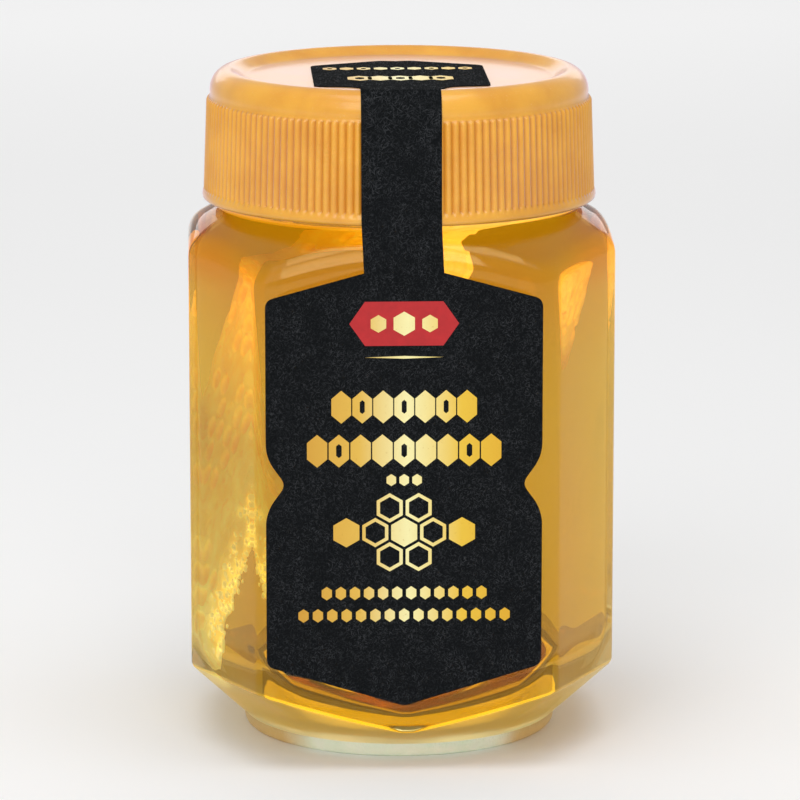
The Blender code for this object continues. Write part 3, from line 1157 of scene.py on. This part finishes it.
@dataclass
class CombSlab:
    """The slab of comb: six-sided cells on both broad faces, some of them capped, with rough cuts."""

    shape: JarShape
    centre: Vector = field(default_factory=lambda: Vector((-7.5, 12.5, 58.1)) * MM)
    lean: float = 61.5
    length: float = 96.0 * MM
    width: float = 41.0 * MM
    thickness: float = 7.6 * MM
    flats: float = 5.4 * MM
    cell_wall: float = 0.34 * MM
    cell_depth: float = 1.6 * MM
    capped_share: float = 0.55
    roughness: float = 0.9 * MM
    seed: int = 7

    def place(self) -> Matrix:
        """Where the slab lies: X along it upwards, Z out of its upper face."""
        return Matrix.Translation(self.centre) @ Matrix.Rotation(-math.radians(self.lean), 4, "Y")

    def cell_sheet(self) -> bpy.types.Object:
        """Lay out the hexagons of one face.

        Returns:
            A flat sheet of hexagons in the XY plane, welded together.
        """
        radius = self.flats / math.sqrt(3.0)
        columns = int(self.length / (3.0 * radius)) + 2
        rows = int(self.width / self.flats) + 2
        deselect()
        bpy.ops.mesh.primitive_circle_add(
            vertices=6, radius=radius, fill_type="NGON", rotation=(0.0, 0.0, math.radians(30.0)))
        sheet = rename(bpy.context.object, "comb_sheet")
        settle(sheet)
        bpy.ops.object.mode_set(mode="EDIT")
        bpy.ops.mesh.select_all(action="SELECT")
        bpy.ops.mesh.duplicate_move(TRANSFORM_OT_translate={"value": (1.5 * radius, 0.5 * self.flats, 0.0)})
        bpy.ops.object.mode_set(mode="OBJECT")
        for count, step in ((columns, (3.0 * radius, 0.0, 0.0)), (rows, (0.0, self.flats, 0.0))):
            modify(sheet, "ARRAY", count=count, use_relative_offset=False, use_constant_offset=True,
                   constant_offset_displace=step, use_merge_vertices=False)
        modify(sheet, "WELD", merge_threshold=0.05 * MM)
        shift = Vector((-(columns - 0.5) * 1.5 * radius, -(rows - 0.5) * self.flats / 2.0, 0.0))
        sheet.data.transform(Matrix.Translation(shift))
        return sheet

    def face_relief(self, sheet: bpy.types.Object) -> None:
        """Sink the open cells, dome the capped ones and extend the rim down to the middle.

        Args:
            sheet: The sheet of hexagons.
        """
        draw = random.Random(self.seed)
        half = self.thickness / 2.0
        sheet.data.transform(Matrix.Translation((0.0, 0.0, half)))
        activate(sheet)
        bpy.ops.object.mode_set(mode="EDIT")
        bpy.ops.mesh.select_mode(type="FACE")
        bpy.ops.mesh.select_all(action="SELECT")
        bpy.ops.mesh.inset(thickness=self.cell_wall, use_individual=True)
        bpy.ops.mesh.extrude_region_move()
        mesh = bmesh.from_edit_mesh(sheet.data)
        capped = []
        for face in mesh.faces:
            if not face.select:
                continue
            middle = face.calc_center_median()
            patch = noise.noise(middle * 60.0) + draw.uniform(-0.35, 0.35)
            cap = patch > 0.5 - self.capped_share
            sink = draw.uniform(-0.4, 0.1) * MM if cap else -self.cell_depth * draw.uniform(0.75, 1.0)
            for vert in face.verts:
                vert.co.z += sink
            if cap:
                capped.append(face)
        domes = bmesh.ops.poke(mesh, faces=capped)["verts"]
        for vert in domes:
            vert.co.z += 0.2 * MM
        bmesh.update_edit_mesh(sheet.data)
        bpy.ops.mesh.select_mode(type="EDGE")
        bpy.ops.mesh.select_all(action="DESELECT")
        bpy.ops.mesh.select_non_manifold()
        bpy.ops.mesh.extrude_region_move()
        mesh = bmesh.from_edit_mesh(sheet.data)
        for vert in mesh.verts:
            if vert.select:
                vert.co.z = 0.0
        bmesh.update_edit_mesh(sheet.data)
        bpy.ops.object.mode_set(mode="OBJECT")
        modify(sheet, "MIRROR", use_axis=(False, False, True), merge_threshold=0.02 * MM)

    def soften(self, sheet: bpy.types.Object) -> None:
        """Round the walls and bend the cells a little out of line, as wax is.

        Args:
            sheet: The closed slab of cells.
        """
        modify(sheet, "SUBSURF", levels=1, render_levels=1)
        for vert in sheet.data.vertices:
            shift = noise.noise_vector(vert.co * 140.0) * 0.35 + noise.noise_vector(vert.co * 600.0) * 0.12
            vert.co += shift * MM

    def rough_block(self) -> bpy.types.Object:
        """A block of the slab's size with torn sides, which the cells are cut to.

        Returns:
            The block, in the slab's own frame.
        """
        deselect()
        bpy.ops.mesh.primitive_cube_add(size=1.0)
        block = rename(bpy.context.object, "comb_block")
        block.scale = (self.length - 2.0 * MM, self.width - 2.0 * MM, self.thickness + 8.0 * MM)
        settle(block)
        bpy.ops.object.mode_set(mode="EDIT")
        bpy.ops.mesh.select_all(action="SELECT")
        bpy.ops.mesh.subdivide(number_cuts=36)
        bpy.ops.object.mode_set(mode="OBJECT")
        for vert in block.data.vertices:
            torn = noise.noise_vector(vert.co * 110.0) + 0.55 * noise.noise_vector(vert.co * 420.0)
            vert.co += Vector((torn.x, torn.y, 0.0)) * self.roughness
        return block

    def build(self) -> bpy.types.Object:
        """Build the comb.

        Returns:
            The comb where it leans in the jar.
        """
        comb = self.cell_sheet()
        self.face_relief(comb)
        self.soften(comb)
        trim(comb, self.rough_block())
        comb.data.transform(self.place())
        trim(comb, loft("comb_limit", self.shape.inside(0.3 * MM, finer=False)))
        rename(comb, "comb_slab")
        smooth(comb, 55.0)
        halves = {"half": self.thickness / 2.0, "half_width": self.width / 2.0}
        comb.data.materials.append(WaxFinish(centre=self.centre, lean=self.lean, **halves).make())
        return comb


@dataclass
class Crumbs:
    """Crumbs of wax along the comb's cut edge in front."""

    slab: CombSlab
    count: int = 480
    reach: float = 37.0 * MM
    least_x: float = -34.0 * MM
    least_z: float = 14.0 * MM
    seed: int = 21

    def lump(self, size: float, centre: Vector, draw: random.Random) -> bpy.types.Object:
        """One small uneven lump.

        Args:
            size: Its radius.
            centre: Its place.
            draw: Source of its unevenness.

        Returns:
            The lump.
        """
        deselect()
        bpy.ops.mesh.primitive_ico_sphere_add(subdivisions=2, radius=size, location=centre)
        lump = rename(bpy.context.object, "crumb")
        lump.scale = (draw.uniform(0.6, 1.3), draw.uniform(0.6, 1.3), draw.uniform(0.5, 1.2))
        lump.rotation_euler = (draw.uniform(0, 3), draw.uniform(0, 3), draw.uniform(0, 3))
        settle(lump)
        for vert in lump.data.vertices:
            vert.co += noise.noise_vector(vert.co * 900.0) * size * 0.3
        return lump

    def build(self) -> bpy.types.Object:
        """Build the crumbs.

        Returns:
            The crumbs as one piece.
        """
        draw = random.Random(self.seed)
        place = self.slab.place()
        lumps = []
        while len(lumps) < self.count:
            along = draw.uniform(-0.48, 0.3) * self.slab.length
            through = draw.triangular(-0.55, 0.45, -0.35) * self.slab.thickness
            near = Vector((along, -self.slab.width / 2.0 + draw.uniform(-0.5, 1.6) * MM, through))
            spot = place @ near
            if spot.x < self.least_x or spot.z < self.least_z or spot.xy.length > self.reach:
                continue
            lumps.append(self.lump(draw.triangular(0.2, 0.85, 0.35) * MM, spot, draw))
        crumbs = join(lumps, "comb_crumbs")
        smooth(crumbs, 80.0)
        # The crumbs' wax carries a painted glow, stronger towards the top.
        white = WaxFinish(linear("FFFCF4"), linear("FFF8E8"), linear("F8ECD0"), 0.45, 1.2, "crumb_wax")
        crumbs.data.materials.append(white.make())
        return crumbs


@dataclass
class Lid:
    """The screw lid: a ribbed skirt between smooth bands, a rounded rim and a shallow recess."""

    low: Vector
    high: Vector
    bore: float = 33.8 * MM
    band: float = 36.3 * MM
    rib_foot: tuple[float, float] = (35.5 * MM, 101.8 * MM)
    rib_head: tuple[float, float] = (34.9 * MM, 118.3 * MM)
    rib_height: float = 0.55 * MM
    rib_count: int = 150
    points_per_rib: int = 8
    recess: float = 122.0 * MM
    recess_radius: float = 28.0 * MM
    rim_centre: float = 31.3 * MM
    rim_width: float = 3.55 * MM
    rim_drop: float = 4.0 * MM

    def rim(self, angle: float, over: float = 0.0) -> tuple[float, float]:
        """A place on the rounded rim.

        Args:
            angle: Angle from the side up to the top, in degrees.
            over: How far it stands off the rim.

        Returns:
            Its radius and height.
        """
        turned = math.radians(angle)
        return (self.rim_centre + (self.rim_width + over) * math.cos(turned),
                self.high.z - self.rim_drop + self.rim_drop * math.sin(turned))

    def dish(self, share: float, edge: float) -> tuple[float, float]:
        """A place on the smooth way from the rim down into the recess.

        Args:
            share: 0 at the rim and 1 at the recess.
            edge: Radius at which the way ends.

        Returns:
            Its radius and height.
        """
        fall = share * share * (3.0 - 2.0 * share)
        return (self.rim_centre + (edge - self.rim_centre) * share,
                self.high.z - (self.high.z - self.recess) * fall)

    def profile(self) -> list[tuple[float, float, float]]:
        """Stations from under the top round to the recess's middle.

        Returns:
            Radius, height and the ribs' share at each station.
        """
        foot, band = self.low.z, self.band
        under = self.recess - 1.4 * MM
        inner = [(self.bore * share, under, 0.0) for share in (0.3, 0.7, 0.98)]
        inner += [(self.bore, under - 0.8 * MM, 0.0), (self.bore, foot + 0.4 * MM, 0.0)]
        inner += [(self.bore + 0.3 * MM, foot, 0.0), (band - 0.5 * MM, foot, 0.0)]
        inner += [(band - 0.1 * MM, foot + 0.25 * MM, 0.0), (band, foot + 0.7 * MM, 0.0)]
        inner += [(band - 0.05 * MM, foot + 1.2 * MM, 0.0)]
        inner += [(band - 0.25 * MM, self.rib_foot[1] - 0.4 * MM, 0.0)]
        ribs = []
        for share, height in ((0.0, 1.0), (0.02, 1.0), (0.35, 1.0), (0.65, 1.0), (0.96, 1.0), (0.978, 0.8),
                              (0.99, 0.45), (1.0, 0.0)):
            place = (low + (high - low) * share for low, high in zip(self.rib_foot, self.rib_head))
            ribs.append((*place, height))
        rim = [(*self.rim(-12.0 + 102.0 * step / 12), 0.0) for step in range(13)]
        rim += [(*self.dish(step / 8, self.recess_radius), 0.0) for step in range(1, 9)]
        floor = [(self.recess_radius * share, self.recess, 0.0) for share in (0.97, 0.8, 0.5, 0.2)]
        return inner + ribs + rim + floor

    def build(self) -> bpy.types.Object:
        """Build the lid.

        Returns:
            The lid.
        """
        count = self.rib_count * self.points_per_rib
        rings = []
        for radius, height, share in self.profile():
            ring = []
            for index in range(count):
                phase = (index % self.points_per_rib) / self.points_per_rib
                crest = math.sin(math.pi * phase) ** 1.2
                reach = radius + share * self.rib_height * crest
                angle = 2.0 * math.pi * index / count
                ring.append(Vector((reach * math.cos(angle), reach * math.sin(angle), height)))
            rings.append(ring)
        lid = loft("screw_lid", rings)
        smooth(lid, 60.0)
        lid.data.materials.append(LidFinish(self.rib_foot, self.rib_head, self.rib_height).make())
        return lid


@dataclass
class SealLabel:
    """The one-piece label: front panel, strip over the shoulder and lid, and the part on the lid's top."""

    shape: JarShape
    lid: Lid
    thickness: float = 0.16 * MM
    lift: float = 0.05 * MM
    half_width: float = 24.8 * MM
    tip: float = 12.2 * MM
    foot: float = 19.7 * MM
    shoulder: float = 86.8 * MM
    neck: float = 91.6 * MM
    strip_half: float = 7.15 * MM
    notch_height: float = 53.2 * MM
    notch_half: float = 5.0 * MM
    notch_depth: float = 3.6 * MM
    crest_half: float = 16.0 * MM
    crest_front: float = -16.0 * MM
    crest_side_back: float = 11.6 * MM
    crest_start: float = -21.0 * MM
    front_shift: float = -0.65 * MM
    strip_shift: float = -1.0 * MM
    seam_shift: float = -0.5 * MM
    columns: int = 12

    def rounded(self, before: Vector, corner: Vector, after: Vector, radius: float,
                steps: int = 8) -> list[Vector]:
        """Points on a curve that rounds a corner.

        Args:
            before: The point before the corner.
            corner: The corner.
            after: The point after it.
            radius: Where the curve starts and ends, from the corner.
            steps: Number of stretches.

        Returns:
            The points.
        """
        start = corner + (before - corner).normalized() * radius
        end = corner + (after - corner).normalized() * radius
        return [ring[0] for ring in curve_rings([start], [corner], [end], steps)]

    def front_outline(self) -> list[Vector]:
        """Right half of the front's outline from the tip up to the strip.

        Returns:
            X and Z of its points.
        """
        tip = Vector((0.0, self.tip))
        corner = Vector((self.half_width, self.foot))
        notch_low = Vector((self.half_width, self.notch_height - self.notch_half))
        notch_tip = Vector((self.half_width - self.notch_depth, self.notch_height))
        notch_high = Vector((self.half_width, self.notch_height + self.notch_half))
        shoulder = Vector((self.half_width, self.shoulder))
        neck = Vector((self.strip_half, self.neck))
        points = self.rounded(Vector((-corner.x, corner.y)), tip, corner, 0.9 * MM)[4:]
        points += self.rounded(tip, corner, notch_low, 1.5 * MM)
        points += self.rounded(corner, notch_low, notch_tip, 2.6 * MM)
        points += self.rounded(notch_low, notch_tip, notch_high, 1.5 * MM)
        points += self.rounded(notch_tip, notch_high, shoulder, 2.6 * MM)
        points += self.rounded(notch_high, shoulder, neck, 1.5 * MM)
        return points + [neck]

    def crest_outline(self) -> list[Vector]:
        """Right half of the outline on the lid's top, from the strip to the dip at the back.

        Returns:
            X and Y of its points.
        """
        strip = Vector((self.strip_half, self.crest_start))
        front = Vector((self.crest_half, self.crest_front))
        back = Vector((self.crest_half, self.crest_side_back))
        peak = Vector((2.8, 18.3)) * MM
        dip = Vector((0.0, 17.7)) * MM
        before, bend = strip + Vector((0.0, -1.0)) * MM, strip + Vector((0.4, 4.2)) * MM
        points = self.rounded(before, bend, front, 3.6 * MM)
        points += self.rounded(strip + Vector((0.0, 5.0 * MM)), front, back, 1.4 * MM)
        points += self.rounded(front, back, peak, 1.4 * MM)
        points += self.rounded(back, peak, dip, 1.0 * MM)
        return points + [dip]

    def stations(self) -> list[tuple[float, float, float]]:
        """The strip's way: over the shoulder, up the lid and over its rim.

        Returns:
            Distance in front of the axis, height and how much it wraps round the lid, at each station.
        """
        front = self.shape.front_flat + self.lift
        crest = self.lid.rib_height + self.lift
        corners = [
            (front, self.neck + 1.2 * MM, 0.0),
            (front - 0.1 * MM, self.shape.shoulder(front) - 0.8 * MM, 0.0),
            (front - 0.95 * MM, self.shape.shoulder(front) + 1.4 * MM, 0.25),
            (self.lid.band + self.lift + 0.15 * MM, self.lid.low.z + 0.3 * MM, 0.8),
            (self.lid.band + self.lift, self.lid.low.z + 1.2 * MM, 1.0),
            (self.lid.rib_foot[0] + crest, self.lid.rib_foot[1] + 0.8 * MM, 1.0),
            (self.lid.rib_head[0] + crest, self.lid.rib_head[1] - 0.6 * MM, 1.0),
        ]
        for step in range(10):
            radius, height = self.lid.rim(6.0 + 84.0 * step / 9, self.lift + 0.03 * MM)
            corners.append((radius, height + self.lift, 1.0))
        for step in range(1, 8):
            radius, height = self.lid.dish(step / 7, self.lid.recess_radius - 0.3 * MM)
            corners.append((radius, height + self.lift, 1.0))
        level = self.lid.recess + self.lift
        corners += [(26.0 * MM, level, 0.6), (23.5 * MM, level, 0.25), (-self.crest_start, level, 0.0)]
        return corners

    def strip_drift(self, row: int, last: int) -> float:
        """How far the hand-laid strip has wandered sideways at a station.

        Args:
            row: The station's number.
            last: The last station's number.

        Returns:
            The shift along X.
        """
        if row <= 4:
            return self.front_shift + (self.strip_shift - self.front_shift) * row / 4
        if row >= last - 8:
            return self.seam_shift + (self.strip_shift - self.seam_shift) * (last - row) / 8
        return self.strip_shift

    def flat_part(self, name: str, right: list[Vector], seam: list[Vector],
                  lay: Callable[[Vector], Vector]) -> bpy.types.Object:
        """One flat part as a filled outline.

        Args:
            name: The part's name.
            right: Right half of the outline, starting or ending at the seam.
            seam: Points between the two sides along the seam, in order after the right half.
            lay: Puts an outline point in space.

        Returns:
            The part, one face.
        """
        left = [Vector((-point.x, point.y)) for point in reversed(right) if abs(point.x) > 1e-6]
        outline = right + seam + left if seam and right[-1].x > 0.0 else left + seam + right
        part = disc(name, len(outline))
        for vert, point in zip(part.data.vertices, outline):
            vert.co = lay(point)
        return part

    def build(self) -> bpy.types.Object:
        """Build the label.

        Returns:
            The label as one thin sheet.
        """
        spare = [self.strip_half * (1.0 - 2.0 * step / self.columns) for step in range(1, self.columns)]
        front_y = -(self.shape.front_flat + self.lift)
        front = self.flat_part(
            "label_front", self.front_outline(), [Vector((x, self.neck)) for x in spare],
            lambda point: Vector((point.x + self.front_shift, front_y, point.y)))
        level = self.lid.recess + self.lift
        crest = self.flat_part(
            "label_crest", self.crest_outline(), [Vector((-x, self.crest_start)) for x in spare],
            lambda point: Vector((
                point.x + self.seam_shift * (point.y < self.crest_start + MM), point.y, level)))
        stations = [(-front_y, self.neck, 0.0)] + self.stations()
        deselect()
        last = len(stations) - 1
        bpy.ops.mesh.primitive_grid_add(x_subdivisions=self.columns, y_subdivisions=last, size=2.0)
        strip = rename(bpy.context.object, "label_strip")
        for vert in strip.data.vertices:
            row = round((vert.co.y + 1.0) / 2.0 * last)
            reach, height, wrap = stations[row]
            x = vert.co.x * self.strip_half + self.strip_drift(row, last)
            curved = math.sqrt(reach ** 2 - x ** 2)
            vert.co = (x, -(reach + (curved - reach) * wrap), height)
        label = join([strip, front, crest], "seal_label")
        modify(label, "WELD", merge_threshold=0.02 * MM)
        face_outwards(label)
        towards = sum((face.normal.y for face in label.data.polygons if face.center.z < self.neck), 0.0)
        side = 1.0 if towards < 0.0 else -1.0
        modify(label, "SOLIDIFY", thickness=self.thickness, offset=side, use_even_offset=True)
        smooth(label, 35.0)
        label.data.materials.append(PaperFinish().make())
        return label


@dataclass
class Print:
    """The label's print: rows of six-sided cells in foil, a comb cluster and a red plaque."""

    label: SealLabel
    foil: float = 0.03 * MM
    parts: list[bpy.types.Object] = field(default_factory=list)

    def face(self) -> float:
        """Y of the front's outer face."""
        return -(self.label.shape.front_flat + self.label.lift + self.label.thickness)

    def hexagon(self, x: float, z: float, radius: float, squash: float = 1.0) -> list[tuple[float, float]]:
        """Corners of a hexagon that stands on a corner.

        Args:
            x: Its centre's place across.
            z: Its centre's height.
            radius: Its radius.
            squash: Width over height.

        Returns:
            X and Z of the corners.
        """
        angles = [math.radians(30.0 + 60.0 * step) for step in range(6)]
        return [(x + squash * radius * math.cos(a), z + radius * math.sin(a)) for a in angles]

    def plate(self, name: str, outline: list[tuple[float, float]], over: float = 0.0) -> bpy.types.Object:
        """Lay a plate of print on the front.

        Args:
            name: Its name.
            outline: X and Z of its corners.
            over: How far its back stands off the paper.

        Returns:
            The plate.
        """
        plate = polyplate(name, outline, self.foil)
        plate.data.transform(Matrix.Translation((self.label.front_shift, self.face() - over, 0.0)))
        return plate

    def stamp(self, outline: list[tuple[float, float]]) -> None:
        """Add one solid shape of foil on the front.

        Args:
            outline: X and Z of its corners.
        """
        self.parts.append(self.plate("foil", outline))

    def frame_stamp(self, outline: list[tuple[float, float]], line: float) -> None:
        """Add one outlined shape of foil on the front.

        Args:
            outline: X and Z of its corners.
            line: The line's width.
        """
        self.stamp(outline)
        plate = self.parts[-1]
        activate(plate)
        bpy.ops.object.mode_set(mode="EDIT")
        bpy.ops.mesh.select_mode(type="FACE")
        bpy.ops.mesh.select_all(action="DESELECT")
        mesh = bmesh.from_edit_mesh(plate.data)
        for face in mesh.faces:
            face.select = abs(face.normal.y) > 0.9
        bmesh.update_edit_mesh(plate.data)
        bpy.ops.mesh.inset(thickness=line)
        bpy.ops.mesh.bridge_edge_loops()
        bpy.ops.object.mode_set(mode="OBJECT")

    def row(self, z: float, half: float, height: float, count: int, squash: float, outlined: int = 0) -> None:
        """A row of hexagons, every so many of them outlined.

        Args:
            z: The row's height.
            half: Half its width.
            height: The hexagons' height.
            count: Their number.
            squash: Their width over their height.
            outlined: Which of them are outlined, counted from the middle; 0 for none.
        """
        radius = height / 2.0
        room = half - squash * radius
        for index in range(count):
            x = -room + 2.0 * room * index / (count - 1)
            outline = self.hexagon(x, z, radius, squash)
            if outlined and abs(index - (count - 1) // 2) % outlined == 0:
                self.frame_stamp(outline, 0.22 * height)
            else:
                self.stamp(outline)

    def cluster(self, z: float, half: float, radius: float) -> None:
        """A cluster of outlined cells, with a filled one in its middle.

        Args:
            z: The middle's height.
            half: Half the cluster's width.
            radius: A cell's radius.
        """
        pitch = math.sqrt(3.0) * radius
        reach = int(half / pitch)
        for line in (-1, 0, 1):
            shift = 0.5 if line else 0.0
            count = reach - abs(line)
            for index in range(-count, count + 1 if not line else count):
                x = (index + shift) * pitch
                cell = self.hexagon(x, z + line * 1.5 * radius, 0.9 * radius)
                if line == 0 and index % 2 == 0:
                    self.stamp(cell)
                else:
                    self.frame_stamp(cell, 0.2 * radius)

    def bar(self, z: float, half: float, height: float) -> None:
        """A thin gold rule."""
        self.stamp([(-half, z), (0.0, z - height / 2.0), (half, z), (0.0, z + height / 2.0)])

    def gold(self) -> bpy.types.Object:
        """Build all the foil.

        Returns:
            The foil as one piece.
        """
        self.bar(76.4 * MM, 7.0 * MM, 0.5 * MM)
        self.row(67.4 * MM, 13.3 * MM, 6.0 * MM, 7, 0.68, outlined=2)
        self.row(59.4 * MM, 17.7 * MM, 6.0 * MM, 9, 0.7, outlined=3)
        self.row(54.0 * MM, 3.3 * MM, 2.2 * MM, 3, 0.9)
        self.cluster(44.4 * MM, 15.4 * MM, 3.0 * MM)
        self.row(33.2 * MM, 15.0 * MM, 2.5 * MM, 12, 0.85)
        self.row(29.1 * MM, 19.2 * MM, 2.5 * MM, 15, 0.85)
        self.crest_print()
        foil = join(self.parts, "label_foil")
        foil.data.materials.append(FoilFinish().make())
        return foil

    def crest_print(self) -> None:
        """Add the rows of foil on the lid's top."""
        level = self.label.lid.recess + self.label.lift + self.label.thickness
        start = len(self.parts)
        self.row(7.2 * MM, 14.0 * MM, 3.6 * MM, 9, 0.8, outlined=2)
        self.row(-6.0 * MM, 10.0 * MM, 6.4 * MM, 5, 0.8, outlined=2)
        lay = Matrix(((1, 0, 0, 0), (0, 0, 1, 0), (0, -1, 0, level), (0, 0, 0, 1)))
        for plate in self.parts[start:]:
            plate.data.transform(lay @ Matrix.Translation((-self.label.front_shift, -self.face(), 0.0)))

    def plaque(self) -> bpy.types.Object:
        """Build the red plaque with three foil cells on it.

        Returns:
            The plaque.
        """
        z = 82.5 * MM
        half, height, point = 9.8 * MM, 4.0 * MM, 2.8 * MM
        outline = [(half, z), (half - point, z + height), (-half + point, z + height), (-half, z),
                   (-half + point, z - height), (half - point, z - height)]
        plaque = self.plate("red_plaque", outline)
        for place, radius in ((-1, 1.6 * MM), (0, 2.2 * MM), (1, 1.6 * MM)):
            cell = self.hexagon(place * 4.6 * MM, z, radius)
            self.parts.append(self.plate("foil", cell, self.foil))
        plaque.data.materials.append(RedFinish().make())
        return plaque


@dataclass
class Studio:
    """The pale floor, the light and the camera."""

    distance: float = 0.922
    height: float = 0.247
    turn: float = 2.4
    aim_height: float = 0.061
    lens: float = 227.2
    world: float = 0.5
    lamps: tuple[tuple[Sequence[float], tuple[float, float], float], ...] = (
        ((-0.3, -1.3, 0.95), (1.3, 1.0), 10.0),
        ((0.0, -0.3, 1.4), (1.2, 0.8), 6.5),
        ((0.0, 1.3, 0.42), (1.3, 0.34), 2.0),
    )

    def aim(self, obj: bpy.types.Object, place: Vector) -> None:
        """Turn the camera or a lamp towards the jar.

        Args:
            obj: The camera or lamp.
            place: Where it stands.
        """
        way = Vector((0.0, 0.0, self.aim_height)) - place
        obj.rotation_euler = way.to_track_quat("-Z", "Y").to_euler()

    def camera(self) -> None:
        """Put the camera at the photo's angle."""
        turn = math.radians(self.turn)
        place = Vector((-math.sin(turn), -math.cos(turn), 0.0)) * self.distance
        place.z = self.height
        bpy.ops.object.camera_add(location=place)
        camera = bpy.context.object
        camera.data.lens = self.lens
        camera.data.sensor_width = 36.0
        camera.data.shift_x = 1.0 / 800.0
        self.aim(camera, place)
        bpy.context.scene.camera = camera

    def floor(self) -> None:
        """Lay the floor."""
        deselect()
        bpy.ops.mesh.primitive_plane_add(size=8.0)
        floor = rename(bpy.context.object, "floor")
        recipe = Recipe("pale_floor")
        tone = recipe.grain(0.3, 2.0)
        colour = recipe.blend(tone, (0.95, 0.95, 0.95), (0.97, 0.97, 0.97))
        recipe.feed(recipe.shader, {"Base Color": colour, "Roughness": 0.8})
        floor.data.materials.append(recipe.material)

    def softbox(self, place: Sequence[float], size: tuple[float, float], power: float) -> None:
        """Hang one soft lamp, aimed at the jar.

        Args:
            place: Its place.
            size: Its width and height.
            power: Its power in watts.
        """
        bpy.ops.object.light_add(type="AREA", location=place)
        lamp = bpy.context.object
        lamp.data.shape = "RECTANGLE"
        lamp.data.size, lamp.data.size_y = size
        lamp.data.energy = power
        self.aim(lamp, Vector(place))

    def light(self) -> None:
        """Light the studio evenly, with soft lamps in front, above and behind."""
        world = bpy.data.worlds.new("studio")
        world.use_nodes = True
        background = world.node_tree.nodes["Background"]
        background.inputs["Color"].default_value = (1.0, 1.0, 1.0, 1.0)
        background.inputs["Strength"].default_value = self.world
        bpy.context.scene.world = world
        for place, size, power in self.lamps:
            self.softbox(place, size, power)
        bpy.context.scene.view_settings.view_transform = "Standard"


def keep(piece: bpy.types.Object, slot: str, *nodes: str) -> None:
    """Put a piece on the body in place of its nodes.

    Args:
        piece: The piece.
        slot: The piece's material slot; not used.
        nodes: The nodes that it stands for.
    """
    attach(piece, BODY)
    if nodes:
        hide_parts(*nodes)
    LOG.info("%s: %d faces", piece.name, len(piece.data.polygons))


def main() -> None:
    """Build every piece round the frame."""
    logging.basicConfig(level=logging.INFO, format="%(name)s %(message)s")
    noise.seed_set(NOISE_SEED)
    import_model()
    studio = Studio()
    studio.camera()
    studio.light()
    studio.floor()
    shape = JarShape(*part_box("jar"))
    filling = Filling(shape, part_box("honey")[1].z)
    keep(filling.glass(), "jar", "jar")
    keep(filling.honey(), "honey", "honey")
    slab = CombSlab(shape)
    keep(slab.build(), "comb", "comb")
    keep(Crumbs(slab).build(), "comb")
    lid = Lid(*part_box("lid"))
    keep(lid.build(), "lid", "lid")
    label = SealLabel(shape, lid)
    keep(label.build(), "label", "label")
    artwork = Print(label)
    keep(artwork.plaque(), "label")
    keep(artwork.gold(), "label")


if __name__ == "__main__":
    main()
